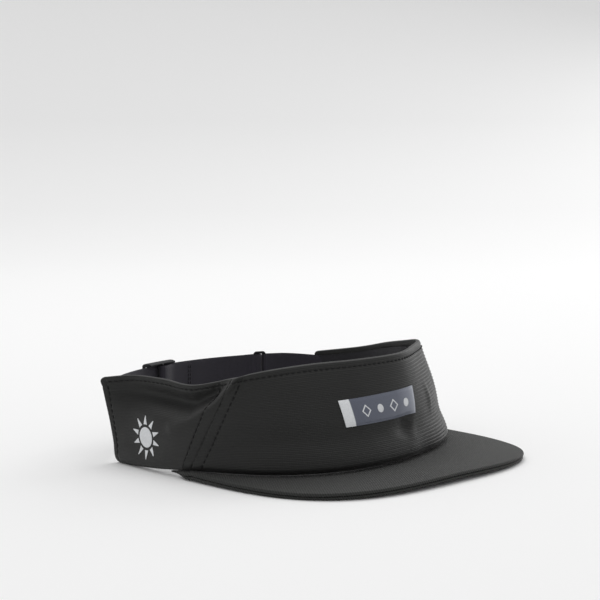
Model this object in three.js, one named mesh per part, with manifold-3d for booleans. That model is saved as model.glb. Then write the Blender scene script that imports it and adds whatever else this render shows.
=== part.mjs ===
// Soft sun visor: a stretch-woven headband with a flat brim, closed at the back by webbing that runs
// through a slider and a ring. Millimetres, +Z up, brim towards -Y, the wearer's left is +X.
// The visor stands on the front corners of its brim and the two rear corners of its headband.
import * as THREE from 'three';
import { mergeVertices } from 'three/addons/utils/BufferGeometryUtils.js';
import Module from 'manifold-3d';

const { Vector2, Vector3 } = THREE;
const wasm = await Module();
wasm.setup();

// ---------------------------------------------------------------- driving dimensions

// Brim: a superellipse outline, slightly arched from side to side and rising towards the head.
const BRIM = {
  halfWidth: 88, depth: 89.6, squareness: 3.3, frontY: -95,
  frontTop: 4.8, pitch: 0.025, droop: 2.84, thickness: 3.2,
  tuck: 5.3, seamAllowance: 4, clothThickness: 0.5, boardInset: 5.4,
};
const GAP = 0.3;

// Layers of the headband, as distances inwards from its outer face.
const LAYER = {
  shell: [0, 0.4], hem: 2.6, stiffener: [0.8, 1.9], webbing: 1.65,
  lining: [2.9, 3.3], seamTape: [3.6, 3.9], sweatband: [3.6, 4.8],
};

// Stations round the headband from the right rear end, past the front, to the left rear end:
// [bottom x, bottom y, top x, top y, top z]. The bottom height is listed only where it isn't the brim.
const STATIONS = [
  [-84.5, 53, -88, 61, 42.4], [-86, 37, -79.5, 47, 44], [-86.5, 20, -77.5, 27, 44],
  [-85.7, 6, -76.5, 6, 43], [-84.3, -2, -70.5, -17, 48.2], [-75, -22, -62.5, -23.5, 50.4],
  [-63, -39, -51.5, -29, 52], [-42, -52, -35, -35.5, 53.4], [-15, -57, -14, -43, 54.2],
  [14, -54, 13, -45.5, 55.1], [43, -45, 36, -35.5, 56.2], [65, -32, 51.5, -26, 56.6],
  [78.5, -18.5, 56.5, -19, 56.2], [84.5, -2, 62, -8, 54.4], [86.5, 16, 74, 16, 50.4],
  [86.5, 36, 82, 43, 45], [84, 54, 75.5, 71, 40.6],
];
const REAR_BOTTOM_Z = { right: [0, 0.8, 2.1, 3.4], left: [2.4, 1.1, 0] };
const SEAM = { right: 4 / 16, left: 13 / 16, halfGap: 0.0008 };

// Outward swell of the headband at mid height, station by station.
const SWELL = [[0, -1], [0.12, 1.5], [0.3, 2.2], [0.5, 2.6], [0.62, 2], [0.7, 1.2], [0.85, 2], [1, 0.5]];
const DENT = { u: 0.15, v: 0.8, halfU: 0.07, halfV: 0.14, depth: 2.2 };

// Rear webbing: a vertical band on one arc, between the two rear ends.
const ARC = { x: 2.2, y: -36.7, radius: 129.6 };
const WEBBING = { low: 10.6, high: 40.1, thickness: 0.8, insetU: 0.055, vLow: 0.26, vHigh: 0.94 };
const SLIDER = { angle: -14.35, length: 22.8, thickness: 1.4, rail: 1.7, endBar: 2.3, midBar: 1.5 };
const RING = { angle: 17.9, barSpacing: 6.4, wire: 1.6, rail: 1.7 };
const LOOP = { radius: 1.8, layerShift: -1.2 };

// ---------------------------------------------------------------- general helpers

// The group sets the middle of the overall box, front to back, at the origin.
const group = new THREE.Group();
group.position.y = 0.57;

function cloth(color, roughness = 0.9) {
  return new THREE.MeshStandardMaterial({ color, roughness, metalness: 0 });
}
const MATERIALS = {
  shell: cloth(0x1d1e1d), brimCloth: cloth(0x232423), lining: cloth(0x1f1e22), terry: cloth(0x19191b),
  webbing: cloth(0x2b2730), board: cloth(0xd8d8d4, 0.6), stiffener: cloth(0x8c8c8a),
  plastic: cloth(0x1a1a1c, 0.45), label: cloth(0x9498a6, 0.5), print: cloth(0xf2f2f0, 0.6),
};

function addMesh(name, geometry, material) {
  const mesh = new THREE.Mesh(geometry, material);
  mesh.name = name;
  group.add(mesh);
}

function interpolate(table, x) {
  const last = table.length - 1;
  if (x <= table[0][0]) return table[0][1];
  for (let i = 0; i < last; i += 1) {
    const [x0, y0] = table[i];
    const [x1, y1] = table[i + 1];
    if (x <= x1) return y0 + ((y1 - y0) * (x - x0)) / (x1 - x0);
  }
  return table[last][1];
}

function range(from, to, steps) {
  return Array.from({ length: steps + 1 }, (_, i) => from + ((to - from) * i) / steps);
}

// Sum of signed tetrahedra: negative when the faces point inwards.
function signedVolume(points, triangles) {
  const cross = new Vector3();
  let sum = 0;
  for (const [a, b, c] of triangles) sum += points[a].dot(cross.crossVectors(points[b], points[c]));
  return sum;
}

function closedGeometry(points, triangles) {
  const inward = signedVolume(points, triangles) < 0;
  const ordered = inward ? triangles.map(([a, b, c]) => [a, c, b]) : triangles;
  const geometry = new THREE.BufferGeometry();
  geometry.setAttribute('position', new THREE.Float32BufferAttribute(points.flatMap((p) => [p.x, p.y, p.z]), 3));
  geometry.setIndex(ordered.flat());
  geometry.computeVertexNormals();
  return geometry;
}

// Skins equal rings of points from first to last. `flat` is the ring laid out in a plane, for its end caps.
function loft(rings, flat) {
  const size = rings[0].length;
  const triangles = [];
  for (let i = 0; i + 1 < rings.length; i += 1) {
    for (let j = 0; j < size; j += 1) {
      const a = i * size + j;
      const b = i * size + ((j + 1) % size);
      triangles.push([a, b, b + size], [a, b + size, a + size]);
    }
  }
  const clockwise = THREE.ShapeUtils.isClockWise(flat);
  for (const [a, b, c] of THREE.ShapeUtils.triangulateShape(flat, [])) {
    const end = (rings.length - 1) * size;
    const cap = clockwise ? [a, b, c] : [a, c, b];
    triangles.push(cap, [cap[0] + end, cap[2] + end, cap[1] + end]);
  }
  return closedGeometry(rings.flat(), triangles);
}

function toSolid(geometry) {
  const bare = geometry.clone();
  bare.deleteAttribute('normal');
  bare.deleteAttribute('uv');
  const merged = mergeVertices(bare, 1e-4);
  const mesh = new wasm.Mesh({
    numProp: 3,
    vertProperties: new Float32Array(merged.attributes.position.array),
    triVerts: new Uint32Array(merged.index.array),
  });
  return new wasm.Manifold(mesh);
}

function fromSolid(solid) {
  const mesh = solid.getMesh();
  const geometry = new THREE.BufferGeometry();
  geometry.setAttribute('position', new THREE.BufferAttribute(mesh.vertProperties, 3));
  geometry.setIndex(new THREE.BufferAttribute(mesh.triVerts, 1));
  geometry.computeVertexNormals();
  return geometry;
}

// ---------------------------------------------------------------- headband surface

function brimTop(x, y) {
  return BRIM.frontTop + BRIM.pitch * (y - BRIM.frontY) - BRIM.droop * (x / BRIM.halfWidth) ** 2;
}

function bottomZ(index, x, y) {
  const fromLeft = index - (STATIONS.length - REAR_BOTTOM_Z.left.length);
  if (index < REAR_BOTTOM_Z.right.length) return REAR_BOTTOM_Z.right[index];
  if (fromLeft >= 0) return REAR_BOTTOM_Z.left[fromLeft];
  return brimTop(x, y) + 1.8 * GAP;
}

const bottomEdge = new THREE.CatmullRomCurve3(
  STATIONS.map(([x, y], i) => new Vector3(x, y, bottomZ(i, x, y))), false, 'catmullrom', 0.5,
);
const topEdge = new THREE.CatmullRomCurve3(
  STATIONS.map(([, , x, y, z]) => new Vector3(x, y, z)), false, 'catmullrom', 0.5,
);

function swell(u, v) {
  const dent = DENT.depth * Math.exp(-(((u - DENT.u) / DENT.halfU) ** 2) - ((v - DENT.v) / DENT.halfV) ** 2);
  return interpolate(SWELL, u) * Math.sin(Math.PI * v) - dent;
}

// u runs round the band from the right rear end, v from bottom to top, depth inwards from the outer face.
function bandPoint(u, v, depth = 0) {
  const step = 1e-3;
  const [before, after] = [Math.max(u - step, 0), Math.min(u + step, 1)];
  const low = bottomEdge.getPoint(u);
  const high = topEdge.getPoint(u);
  const run = bottomEdge.getPoint(after).sub(bottomEdge.getPoint(before));
  run.add(topEdge.getPoint(after)).sub(topEdge.getPoint(before));
  const out = new Vector3(run.y, -run.x, 0).normalize();
  return low.lerp(high, v).addScaledVector(out, swell(u, v) - depth);
}

// A piece of the headband with one cross-section, given as [v, depth] corners.
function bandPiece(profile, from, to, steps) {
  const rings = range(from, to, steps).map((u) => profile.map(([v, depth]) => bandPoint(u, v, depth)));
  return loft(rings, profile.map(([v, depth]) => new Vector2(v * 45, depth)));
}

// A plain layer between two heights, following the swell of the band.
function layerProfile([outer, inner], vLow, vHigh, rows) {
  const heights = range(vLow, vHigh, rows);
  return [...heights.map((v) => [v, outer]), ...heights.reverse().map((v) => [v, inner])];
}

// The shell turns over a rounded hem at the rim, which caps the layers inside it.
function shellProfile() {
  const [outer, inner] = LAYER.shell;
  const capV = 0.965;
  const heights = range(0, 0.93, 5);
  return [
    ...heights.map((v) => [v, outer]), [0.99, outer + 0.1], [1, outer + 0.7],
    [1, LAYER.hem - 0.7], [0.99, LAYER.hem], [capV, LAYER.hem], [capV, inner],
    ...heights.reverse().map((v) => [v, inner]),
  ];
}

const SIDES = [
  { side: 'right', from: 0, to: SEAM.right, steps: 16 },
  { side: 'left', from: SEAM.left, to: 1, steps: 12 },
];

function addHeadband() {
  const { right, left, halfGap } = SEAM;
  const front = { from: right + halfGap, to: left - halfGap, steps: 36 };
  addMesh('front_panel', bandPiece(shellProfile(), front.from, front.to, front.steps), MATERIALS.shell);
  const lining = layerProfile(LAYER.lining, 0.01, 0.95, 5);
  addMesh('front_lining', bandPiece(lining, front.from, front.to, front.steps), MATERIALS.lining);
  const stiffener = layerProfile(LAYER.stiffener, 0.03, 0.92, 5);
  const inset = 0.006;
  addMesh(
    'front_interlining',
    bandPiece(stiffener, front.from + inset, front.to - inset, front.steps),
    MATERIALS.stiffener,
  );
  for (const { side, from, to, steps } of SIDES) {
    const start = side === 'right' ? from : from + halfGap;
    const end = side === 'right' ? to - halfGap : to;
    addMesh(`side_panel_${side}`, bandPiece(shellProfile(), start, end, steps), MATERIALS.shell);
    addMesh(`side_lining_${side}`, bandPiece(lining, start, end, steps), MATERIALS.lining);
    const seam = SEAM[side];
    const tape = layerProfile(LAYER.seamTape, 0.64, 0.94, 3);
    addMesh(`seam_tape_${side}`, bandPiece(tape, seam - 0.018, seam + 0.018, 4), MATERIALS.lining);
  }
  const terry = layerProfile(LAYER.sweatband, 0.02, 0.6, 3);
  addMesh('sweatband', bandPiece(terry, 0.06, 0.94, 56), MATERIALS.terry);
}

// ---------------------------------------------------------------- brim

// Point on the brim's plan outline in the direction `turn` from straight ahead.
function brimOutline(turn) {
  const { halfWidth, depth, squareness, frontY } = BRIM;
  const across = Math.abs(Math.sin(turn) / halfWidth) ** squareness;
  const ahead = Math.abs(Math.cos(turn) / depth) ** squareness;
  const reach = (across + ahead) ** (-1 / squareness);
  return new Vector2(reach * Math.sin(turn), frontY + depth - reach * Math.cos(turn));
}

// A layer of the brim with one cross-section, given as [way out, inset from the edge, depth below the top].
function brimPiece(profile, steps = 40) {
  const rings = range(0, 1, steps).map((s) => {
    const inner = bandPoint(SEAM.right + (SEAM.left - SEAM.right) * s, 0, BRIM.tuck);
    const outer = brimOutline(Math.PI * (s - 0.5));
    const out = outer.clone().sub(new Vector2(inner.x, inner.y));
    const width = out.length();
    return profile.map(([way, inset, drop]) => {
      const reach = way - inset / width;
      const [x, y] = [inner.x + out.x * reach, inner.y + out.y * reach];
      return new Vector3(x, y, brimTop(x, y) - drop);
    });
  });
  return loft(rings, profile.map(([way, inset, drop]) => new Vector2(way * 40 - inset, -drop)));
}

// Half of the folded cover: a skin with a rounded lip and its seam allowance turned in.
function coverProfile(flip) {
  const { thickness, clothThickness, seamAllowance } = BRIM;
  const lip = (thickness - GAP) / 2;
  const rows = [0, 0.33, 0.66];
  const corners = [
    ...rows.map((way) => [way, 0, 0]), [1, 1.1, 0], [1, 0.3, 0.3], [1, 0, 0.8], [1, 0.1, lip],
    [1, seamAllowance, lip], [1, seamAllowance, clothThickness],
    ...rows.slice().reverse().map((way) => [way, 0, clothThickness]),
  ];
  return corners.map(([way, inset, drop]) => [way, inset, flip ? thickness - drop : drop]);
}

function addBrim() {
  const { thickness, clothThickness, boardInset } = BRIM;
  addMesh('brim_top_cover', brimPiece(coverProfile(false)), MATERIALS.brimCloth);
  addMesh('brim_under_cover', brimPiece(coverProfile(true)), MATERIALS.brimCloth);
  const [high, low] = [clothThickness + GAP, thickness - clothThickness - GAP];
  const ways = [0, 0.33, 0.66];
  const board = [
    ...ways.map((way) => [way, 0, high]), [1, boardInset, high], [1, boardInset, low],
    ...ways.slice().reverse().map((way) => [way, 0, low]),
  ];
  addMesh('brim_board', brimPiece(board), MATERIALS.board);
}

// ---------------------------------------------------------------- rear webbing, slider and ring

// Plan point at `along` mm past `angle` on the webbing's arc, `out` mm outside it.
function onArc(angle, along, out = 0) {
  const turn = THREE.MathUtils.degToRad(angle) + along / ARC.radius;
  const reach = ARC.radius + out;
  return new Vector2(ARC.x + reach * Math.sin(turn), ARC.y + reach * Math.cos(turn));
}

// A station across the webbing is a row of points from its lower to its upper edge.
const WEB_ROWS = 4;

function upright(point, low = WEBBING.low, high = WEBBING.high) {
  return range(low, high, WEB_ROWS).map((z) => new Vector3(point.x, point.y, z));
}

function bandStation(u, depth = LAYER.webbing) {
  return range(WEBBING.vLow, WEBBING.vHigh, WEB_ROWS).map((v) => bandPoint(u, v, depth));
}

// Flat webbing along a list of stations.
function ribbon(stations, thickness) {
  const half = thickness / 2;
  const last = stations.length - 1;
  const rings = stations.map((row, i) => {
    const before = stations[Math.max(i - 1, 0)];
    const after = stations[Math.min(i + 1, last)];
    const run = after[0].clone().add(after[WEB_ROWS]).sub(before[0]).sub(before[WEB_ROWS]);
    const out = new Vector3(-run.y, run.x, 0).normalize().multiplyScalar(half);
    const faces = row.map((point) => point.clone().add(out));
    return [...faces, ...row.map((point) => point.clone().sub(out)).reverse()];
  });
  const heights = range(0, 30, WEB_ROWS);
  const flat = [...heights.map((x) => new Vector2(x, 0)), ...heights.reverse().map((x) => new Vector2(x, 1))];
  return loft(rings, flat);
}

// Smooth run between two stations, leaving each along its own direction.
function bridge(start, startRun, end, endRun, reach, steps) {
  const edges = start.map((from, row) => new THREE.CubicBezierCurve3(
    from,
    from.clone().addScaledVector(startRun, reach),
    end[row].clone().addScaledVector(endRun, -reach),
    end[row],
  ));
  return range(0, 1, steps).slice(1, -1).map((t) => edges.map((edge) => edge.getPoint(t)));
}

function arcRun(angle) {
  const turn = THREE.MathUtils.degToRad(angle);
  return new Vector3(Math.cos(turn), -Math.sin(turn), 0);
}

// The wrap round one bar of the ring, as plan offsets [along, out] from the middle of the ring.
function wrapPoints(direction) {
  const bar = -direction * (RING.barSpacing / 2);
  const middle = LOOP.radius + WEBBING.thickness / 2;
  return range(90, -90, 10).map((degrees) => {
    const turn = THREE.MathUtils.degToRad(degrees);
    return [bar + direction * middle * Math.cos(turn), LOOP.layerShift + middle * Math.sin(turn)];
  });
}

function addStrap() {
  const startAngle = -33;
  const start = upright(onArc(startAngle, 0));
  const anchored = [WEBBING.insetU, WEBBING.insetU * 0.6, WEBBING.insetU * 0.25, 0].map((u) => bandStation(u));
  const leaving = anchored[3][0].clone().sub(anchored[2][0]).setZ(0).normalize();
  const outward = LOOP.layerShift + LOOP.radius + WEBBING.thickness / 2;
  const lead = 9;
  const ringBar = RING.barSpacing / 2;
  const runEnd = RING.angle - THREE.MathUtils.radToDeg((ringBar + lead) / ARC.radius);
  const stations = [
    ...anchored,
    ...bridge(anchored[3], leaving, start, arcRun(startAngle), 5, 8),
    ...range(startAngle, runEnd, 18).map((angle) => upright(onArc(angle, 0))),
    ...[[-ringBar - 4.5, outward * 0.55], [-ringBar - 2, outward * 0.95]]
      .map(([along, out]) => upright(onArc(RING.angle, along, out))),
    ...wrapPoints(1).map(([along, out]) => upright(onArc(RING.angle, along, out))),
  ];
  addMesh('strap_webbing', ribbon(stations, WEBBING.thickness), MATERIALS.webbing);

  const inner = LOOP.layerShift - LOOP.radius - WEBBING.thickness / 2;
  const tailOut = -2.3;
  const loopEnd = onArcLength(SLIDER.angle, RING.angle) - LOOP_LENGTH - GAP;
  const tailSteps = range(-loopEnd, -ringBar - 8, 12).map((along) => [along, tailOut]);
  const tail = [...tailSteps, [-ringBar - 4, (tailOut + inner) / 2], [-ringBar - 0.7, inner]];
  addMesh(
    'strap_tail',
    ribbon(tail.map(([along, out]) => upright(onArc(RING.angle, along, out))), WEBBING.thickness),
    MATERIALS.webbing,
  );
}

const LOOP_LENGTH = 17.4;

function onArcLength(from, to) {
  return THREE.MathUtils.degToRad(to - from) * ARC.radius;
}

// An upright prism on the arc, from a plan outline of [along, out] corners and any holes through it.
function arcPrism(angle, outline, holes, low, high) {
  const place = (points) => points.map(([along, out]) => onArc(angle, along, out));
  const shape = new THREE.Shape(place(outline));
  shape.holes = holes.map((hole) => new THREE.Path(place(hole)));
  const geometry = new THREE.ExtrudeGeometry(shape, { depth: high - low, bevelEnabled: false, steps: 1 });
  return geometry.translate(0, 0, low);
}

function circlePoints(along, out, radius, from, to, steps) {
  return range(from, to, steps).map((degrees) => {
    const turn = THREE.MathUtils.degToRad(degrees);
    return [along + radius * Math.cos(turn), out + radius * Math.sin(turn)];
  });
}

// The slider is a curved plate: its ends lie outside the webbing and its middle bar inside it.
function sliderMiddle(along) {
  const [endOut, middleOut] = [2, -2.9];
  return endOut - (endOut - middleOut) * Math.cos((Math.PI * along) / SLIDER.length) ** 2;
}

function addSlider() {
  const { angle, length, thickness, rail, endBar, midBar } = SLIDER;
  const half = thickness / 2;
  const ways = range(-length / 2, length / 2, 16);
  const outline = [
    ...ways.map((along) => [along, sliderMiddle(along) - half]),
    ...ways.slice().reverse().map((along) => [along, sliderMiddle(along) + half]),
  ];
  const [low, high] = [WEBBING.low - GAP - rail, WEBBING.high + GAP + rail];
  let plate = toSolid(arcPrism(angle, outline, [], low, high));
  for (const hand of [-1, 1]) {
    const [near, far] = [hand * (midBar / 2), hand * (length / 2 - endBar)];
    const window = [[near, -8], [far, -8], [far, 8], [near, 8]];
    const ordered = hand > 0 ? window : window.reverse();
    plate = plate.subtract(toSolid(arcPrism(angle, ordered, [], low + rail, high - rail)));
  }
  addMesh('slider', fromSolid(plate), MATERIALS.plastic);
}

// The webbing's end wraps round the slider's middle bar and is sewn back on itself.
function addStrapLoop() {
  const bar = sliderMiddle(0);
  const clear = 1.3;
  const outer = clear + WEBBING.thickness;
  const sewn = [6.5, LOOP_LENGTH];
  const mid = -2.3;
  const outline = [
    ...circlePoints(0, bar - 0.1, outer, 90, 270, 12),
    [3.5, bar - 0.1 - outer], [sewn[0], mid - 0.85], [sewn[1], mid - 0.85],
    [sewn[1], mid + 0.85], [sewn[0], mid + 0.85], [3.5, bar - 0.1 + outer],
  ];
  const hole = [
    ...circlePoints(0, bar - 0.1, clear, 90, 270, 8), [3, bar - 0.1 - clear], [5, mid],
    [3, bar - 0.1 + clear],
  ];
  const geometry = arcPrism(SLIDER.angle, outline, [hole], WEBBING.low, WEBBING.high);
  addMesh('strap_loop', geometry, MATERIALS.webbing);
}

function addRing() {
  const { angle, barSpacing, wire, rail } = RING;
  const [reach, half] = [barSpacing / 2 + wire / 2, wire / 2];
  const [low, high] = [WEBBING.low - GAP - rail, WEBBING.high + GAP + rail];
  const out = LOOP.layerShift;
  const corner = 0.35;
  const outline = [
    [-reach + corner, out - half], [reach - corner, out - half], [reach, out - half + corner],
    [reach, out + half - corner], [reach - corner, out + half], [-reach + corner, out + half],
    [-reach, out + half - corner], [-reach, out - half + corner],
  ];
  const block = toSolid(arcPrism(angle, outline, [], low, high));
  const inside = barSpacing / 2 - wire / 2;
  const window = [[-inside, out - 3], [inside, out - 3], [inside, out + 3], [-inside, out + 3]];
  const ring = block.subtract(toSolid(arcPrism(angle, window, [], low + rail, high - rail)));
  addMesh('ring', fromSolid(ring), MATERIALS.plastic);
}

// A short doubled length of webbing holds the ring to the left rear end of the headband.
function addRingTab() {
  const layer = 0.5;
  const thickness = 0.7;
  const endRun = bandPoint(1, 0.5).sub(bandPoint(0.98, 0.5)).setZ(0).normalize().negate();
  const [outerShift, innerShift] = [layer, -layer];
  const start = RING.angle + 5.5;
  const panel = (shift) => [0.004, 0.02, 0.035].map((inset) => bandStation(1 - inset, LAYER.webbing - shift));
  const run = (shift) => {
    const near = upright(onArc(start, 0, shift + LOOP.layerShift / 2));
    const inPanel = panel(shift);
    return [near, ...bridge(near, arcRun(start), inPanel[0], endRun, 7, 8), ...inPanel];
  };
  const wrap = wrapPoints(-1).map(([along, out]) => upright(onArc(RING.angle, along, out)));
  const stations = [...run(outerShift).reverse(), ...wrap, ...run(innerShift)];
  addMesh('ring_tab', ribbon(stations, thickness), MATERIALS.webbing);
}

// ---------------------------------------------------------------- label and side print

// A thin patch on the headband. `corner(a, b)` gives [u, v] for a, b from 0 to 1.
function patch(corner, columns, rows, gap, thickness) {
  const profile = [...range(0, 1, rows).map((b) => [b, -gap - thickness]),
    ...range(1, 0, rows).map((b) => [b, -gap])];
  const rings = range(0, 1, columns).map((a) => profile.map(([b, depth]) => {
    const [u, v] = corner(a, b);
    return bandPoint(u, v, depth);
  }));
  return loft(rings, profile.map(([b, depth]) => new Vector2(b * 20, depth)));
}

function addFrontLabel() {
  const corner = (a, b) => [0.461 + 0.114 * a, 0.375 + 0.045 * a + (0.275 - 0.03 * a) * b];
  addMesh('front_label', patch(corner, 14, 4, GAP, 0.5), MATERIALS.label);
}

// A generic sun: a disc with short rays, in one thin outline.
function addSidePrint() {
  const centre = { u: 0.097, v: 0.33 };
  const unit = { u: 1 / 268, v: 1 / 41 };
  const rays = 10;
  const [discRadius, rayRadius] = [6.6, 11.2];
  const outline = range(0, rays, rays).slice(0, -1).flatMap((ray) => {
    const turn = (2 * Math.PI * ray) / rays;
    const half = Math.PI / rays;
    return [[turn - half * 0.55, discRadius], [turn, rayRadius], [turn + half * 0.55, discRadius]];
  });
  const fractions = [0.35, 0.7, 1];
  const side = (depth) => [
    bandPoint(centre.u, centre.v, depth),
    ...fractions.flatMap((fraction) => outline.map(([turn, radius]) => bandPoint(
      centre.u + unit.u * radius * fraction * Math.cos(turn),
      centre.v + unit.v * radius * fraction * Math.sin(turn),
      depth,
    ))),
  ];
  const count = outline.length;
  const faces = [];
  const ringStart = (ring) => 1 + ring * count;
  for (let j = 0; j < count; j += 1) {
    const next = (j + 1) % count;
    faces.push([0, ringStart(0) + j, ringStart(0) + next]);
    for (let ring = 0; ring + 1 < fractions.length; ring += 1) {
      const [a, b] = [ringStart(ring) + j, ringStart(ring) + next];
      faces.push([a, a + count, b + count], [a, b + count, b]);
    }
  }
  const backStart = 1 + fractions.length * count;
  const triangles = [...faces, ...faces.map(([a, b, c]) => [a + backStart, c + backStart, b + backStart])];
  const rim = ringStart(fractions.length - 1);
  for (let j = 0; j < count; j += 1) {
    const [a, b] = [rim + j, rim + ((j + 1) % count)];
    triangles.push([a, a + backStart, b + backStart], [a, b + backStart, b]);
  }
  const [faceDepth, backDepth] = [-GAP - 0.3, -GAP];
  addMesh('side_print', closedGeometry([...side(faceDepth), ...side(backDepth)], triangles), MATERIALS.print);
}

addHeadband();
addBrim();
addStrap();
addSlider();
addStrapLoop();
addRing();
addRingTab();
addFrontLabel();
addSidePrint();

export default group;
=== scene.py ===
"""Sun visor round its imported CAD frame: panels, brim, webbing, slider, ring, label, print and threads."""
import math

import bpy
import numpy as np
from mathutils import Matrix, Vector


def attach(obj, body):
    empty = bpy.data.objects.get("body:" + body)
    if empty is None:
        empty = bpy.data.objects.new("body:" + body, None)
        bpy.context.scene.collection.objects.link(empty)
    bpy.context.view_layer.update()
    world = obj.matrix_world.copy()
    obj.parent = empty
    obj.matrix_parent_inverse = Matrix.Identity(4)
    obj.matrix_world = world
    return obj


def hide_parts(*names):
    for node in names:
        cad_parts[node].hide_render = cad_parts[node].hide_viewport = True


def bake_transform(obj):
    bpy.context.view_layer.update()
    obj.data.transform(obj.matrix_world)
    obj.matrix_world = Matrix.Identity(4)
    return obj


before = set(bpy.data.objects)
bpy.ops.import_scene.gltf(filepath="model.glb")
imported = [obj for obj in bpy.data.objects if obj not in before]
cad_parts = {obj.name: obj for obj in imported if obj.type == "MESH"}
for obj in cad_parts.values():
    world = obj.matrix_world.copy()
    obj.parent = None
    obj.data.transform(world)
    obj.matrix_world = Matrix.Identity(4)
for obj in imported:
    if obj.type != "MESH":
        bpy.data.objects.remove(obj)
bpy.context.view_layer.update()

MM = 0.001
ORIGIN_Y = 0.57  # the frame's origin, ahead of the stations' own, in millimetres

# ---- headband surface (millimetres)

# Stations from the right rear end past the front: bottom x, bottom y, top x, top y, top z.
STATIONS = [
    (-84.5, 53, -88, 61, 42.4), (-86, 37, -79.5, 47, 44), (-86.5, 20, -77.5, 27, 44),
    (-85.7, 6, -76.5, 6, 43), (-84.3, -2, -70.5, -17, 48.2), (-75, -22, -62.5, -23.5, 50.4),
    (-63, -39, -51.5, -29, 52), (-42, -52, -35, -35.5, 53.4), (-15, -57, -14, -43, 54.2),
    (14, -54, 13, -45.5, 55.1), (43, -45, 36, -35.5, 56.2), (65, -32, 51.5, -26, 56.6),
    (78.5, -18.5, 56.5, -19, 56.2), (84.5, -2, 62, -8, 54.4), (86.5, 16, 74, 16, 50.4),
    (86.5, 36, 82, 43, 45), (84, 54, 75.5, 71, 40.6),
]
REAR_RIGHT_Z, REAR_LEFT_Z = [0, 0.8, 2.1, 3.4], [2.4, 1.1, 0]
SEAM_RIGHT, SEAM_LEFT = 4 / 16, 13 / 16
SWELL = np.array([(0, -1), (0.12, 1.5), (0.3, 2.2), (0.5, 2.6), (0.62, 2), (0.7, 1.2), (0.85, 2), (1, 0.5)])
BAND_LENGTH, BAND_HEIGHT = 325.0, 50.0
RIBS = 32
BRIM = dict(half_width=88, depth=89.6, squareness=3.3, front=-95, top=4.8, pitch=0.025, droop=2.84,
            thickness=3.2, tuck=5.3)
DIP_SHARE, DIP_CLEAR = 0.85, 0.1
BAND_LIFT = 0.54


def brim_top(x, y):
    return BRIM["top"] + BRIM["pitch"] * (y - BRIM["front"]) - BRIM["droop"] * (x / BRIM["half_width"]) ** 2


def brim_dip(x, y):
    """How far the soft brim sinks towards the floor where it meets the headband."""
    return DIP_SHARE * np.clip(brim_top(x, y) - BRIM["thickness"] - DIP_CLEAR, 0, None)


def station_curves():
    low, high = [], []
    last = len(STATIONS) - len(REAR_LEFT_Z)
    for i, (x, y, top_x, top_y, top_z) in enumerate(STATIONS):
        z = brim_top(x, y) + BAND_LIFT - brim_dip(x, y)
        if i < len(REAR_RIGHT_Z):
            z = REAR_RIGHT_Z[i]
        if i >= last:
            z = REAR_LEFT_Z[i - last]
        low.append((x, y, z))
        high.append((top_x, top_y, top_z))
    return np.array(low, float), np.array(high, float)


LOW, HIGH = station_curves()


def catmull(points, u):
    """Uniform Catmull-Rom through the points, at parameters u from 0 to 1."""
    count = len(points) - 1
    padded = np.vstack([2 * points[0] - points[1], points, 2 * points[-1] - points[-2]])
    place = np.asarray(u, float) * count
    i = np.clip(np.floor(place).astype(int), 0, count - 1)
    t = (place - i)[..., None]
    a, b, c, d = (padded[i + k] for k in range(4))
    return 0.5 * (2 * b + (c - a) * t + (2 * a - 5 * b + 4 * c - d) * t**2 + (3 * b - a - 3 * c + d) * t**3)


def bell(distance, width):
    return np.exp(-((distance / width) ** 2))


def to_path(u, v, path):
    """Distance in millimetres from (u, v) to a path of (u, v) points, and how far along it, 0 to 1."""
    p = np.stack([u * BAND_LENGTH, v * BAND_HEIGHT], -1)
    q = np.array(path, float) * (BAND_LENGTH, BAND_HEIGHT)
    best, along = np.full(np.shape(u), 1e9), np.zeros(np.shape(u))
    for k in range(len(q) - 1):
        run = q[k + 1] - q[k]
        t = np.clip(((p - q[k]) @ run) / (run @ run), 0, 1)
        far = np.linalg.norm(p - q[k] - t[..., None] * run, axis=-1)
        along = np.where(far < best, (k + t) / (len(q) - 1), along)
        best = np.minimum(best, far)
    return best, along


def smooth(x, start, end):
    t = np.clip((x - start) / (end - start), 0, 1)
    return t * t * (3 - 2 * t)


def lengths_along(points):
    """Length along a line of points at each of them, from its start."""
    return np.concatenate([[0], np.cumsum(np.linalg.norm(np.diff(points, axis=0), axis=1))])


WAVES = np.random.default_rng(7).uniform(-1, 1, (26, 4))
SOFTNESS = 0.13


def softness(u, v):
    """Slow uneven waves, as worn cloth has, in millimetres."""
    total = np.zeros(np.shape(u))
    for k, (a, b, c, d) in enumerate(WAVES):
        scale = 9 + 2.1 * k
        turn = (u * BAND_LENGTH * (1.0 + 0.4 * a) * math.cos(b * 2) + v * BAND_HEIGHT * (1.4 + c)) / scale
        total += np.sin(turn * 1.7 + 9 * d) * scale / 60
    return SOFTNESS * total


# Folds of the cloth: paths are (u, v) places, and widths, heights and depths are in millimetres.
NEAR_RIDGE = [(0.262, 1.0), (0.25, 0.87), (0.238, 0.76), (0.222, 0.67), (0.2, 0.59), (0.165, 0.5)]
RIDGE_WIDTH, RIDGE_HEIGHT = 3.6, 2.5
NEAR_VALLEY = [(0.0, 0.86), (0.06, 0.8), (0.13, 0.76), (0.19, 0.76), (0.222, 0.84)]
VALLEY_WIDTH, VALLEY_DEPTH = 5.6, 5.4
LEFT_PINCH = [(0.556, 0.38), (0.547, 0.29), (0.543, 0.2)]
PINCH_WIDTH, PINCH_DEPTH = 3.8, 1.7
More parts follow.
